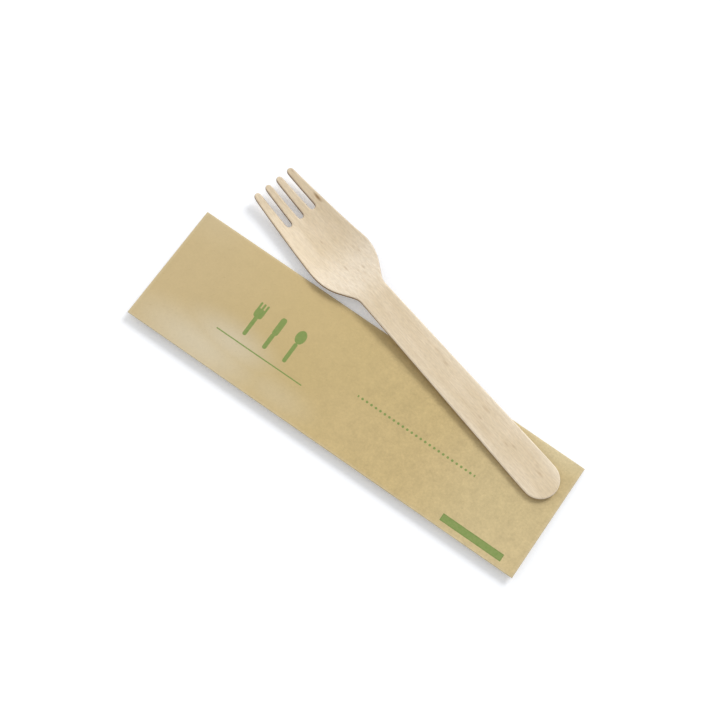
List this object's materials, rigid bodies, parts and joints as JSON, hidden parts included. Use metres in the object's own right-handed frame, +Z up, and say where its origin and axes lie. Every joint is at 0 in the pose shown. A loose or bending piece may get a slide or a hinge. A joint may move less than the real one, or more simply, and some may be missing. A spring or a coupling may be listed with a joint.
{
  "type": "wooden cutlery pack",
  "caption": "Flat glued kraft paper pouch with a pressed birch fork lying on it, its dished, tined head past the long edge.",
  "frame": {"origin": "middle of the pouch's back, on the table", "axes": "+Z up; +X along the pouch towards the fork's handle end; +Y across the pouch towards the edge that the fork's head overhangs"},
  "size_m": [0.1714, 0.0826, 0.0062],
  "materials": {
    "kraft_paper": "matt, finely fibrous, printed in one green",
    "birch": "plain, tumbled, no lacquer"
  },
  "bodies": {
    "root": {"kraft_pouch": "kraft_paper", "fork": "birch"}
  },
  "joints": []
}
